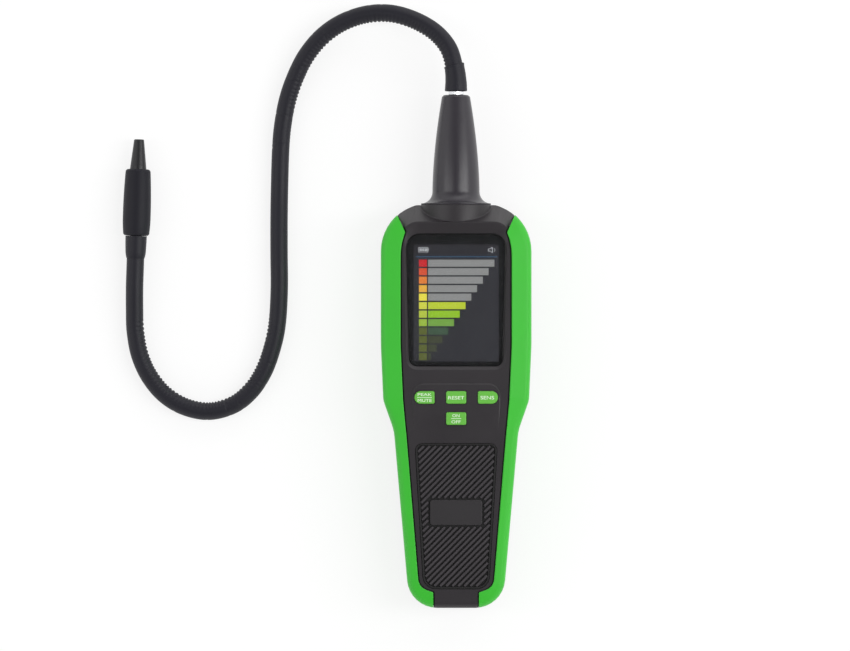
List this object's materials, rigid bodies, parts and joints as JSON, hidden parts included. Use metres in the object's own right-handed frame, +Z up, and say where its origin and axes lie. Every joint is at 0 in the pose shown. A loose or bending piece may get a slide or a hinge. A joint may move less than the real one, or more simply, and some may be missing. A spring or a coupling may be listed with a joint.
{
  "type": "refrigerant leak detector",
  "caption": "Handheld refrigerant leak detector: black housing with green side bumpers, colour display, rubber keys, ribbed grip and a sensor probe on a bendable gooseneck.",
  "frame": {"origin": "middle of the instrument's bounding box, without gooseneck and probe, on the plane of its back", "axes": "+Y from the foot to the spout, +Z up out of the front face, +X to the right of the display"},
  "size_m": [0.2051, 0.3018, 0.037],
  "materials": {
    "housing_plastic": "fine moulded grain",
    "bumper_rubber": "satin",
    "lens_acrylic": "polished",
    "display_panel": "gloss",
    "pad_rubber": "matt",
    "key_rubber": "satin",
    "pill_carbon": "matt",
    "board_laminate": "satin",
    "buzzer_plastic": "matt",
    "socket_plastic": "satin",
    "lead_sheath": "satin",
    "cell_can": "sleeved",
    "contact_metal": "nickel plated",
    "fitting_chrome": "polished",
    "hose_rubber": "satin",
    "nozzle_plastic": "satin",
    "sensor_can": "satin",
    "filter_felt": "soft"
  },
  "bodies": {
    "housing": {"front_cover": "housing_plastic", "rear_cover": "housing_plastic", "probe_spout": "housing_plastic", "bumper_left": "bumper_rubber", "bumper_right": "bumper_rubber", "screen_lens": "lens_acrylic", "display_module": "display_panel", "grip_pad": "pad_rubber", "keypad_mat": "pad_rubber", "main_board": "board_laminate", "buzzer": "buzzer_plastic", "sensor_socket": "socket_plastic", "sensor_lead": "lead_sheath", "battery_cell": "cell_can", "battery_contact": "contact_metal", "battery_spring": "contact_metal", "cover_screws": "contact_metal", "board_screws": "contact_metal", "hex_fitting": "fitting_chrome", "gooseneck": "hose_rubber", "hose_collar": "hose_rubber", "probe_sleeve": "hose_rubber", "probe_grip": "hose_rubber", "probe_nozzle": "nozzle_plastic", "gas_sensor": "sensor_can", "dust_filter": "filter_felt"},
    "battery_door": {"battery_door": "housing_plastic"},
    "key_mute": {"key_mute": "key_rubber", "pill_mute": "pill_carbon"},
    "key_reset": {"key_reset": "key_rubber", "pill_reset": "pill_carbon"},
    "key_sens": {"key_sens": "key_rubber", "pill_sens": "pill_carbon"},
    "key_power": {"key_power": "key_rubber", "pill_power": "pill_carbon"}
  },
  "joints": [
    {"name": "key_mute_press", "type": "slide", "parent": "housing", "child": "key_mute", "axis": [0, 0, -1], "range_m": [0, 0.001], "stiffness_N_per_m": 800},
    {"name": "key_reset_press", "type": "slide", "parent": "housing", "child": "key_reset", "axis": [0, 0, -1], "range_m": [0, 0.001], "stiffness_N_per_m": 800},
    {"name": "key_sens_press", "type": "slide", "parent": "housing", "child": "key_sens", "axis": [0, 0, -1], "range_m": [0, 0.001], "stiffness_N_per_m": 800},
    {"name": "key_power_press", "type": "slide", "parent": "housing", "child": "key_power", "axis": [0, 0, -1], "range_m": [0, 0.001], "stiffness_N_per_m": 800},
    {"name": "battery_door_slide", "type": "slide", "parent": "housing", "child": "battery_door", "axis": [0, -1, 0], "range_m": [0, 0.085]}
  ]
}
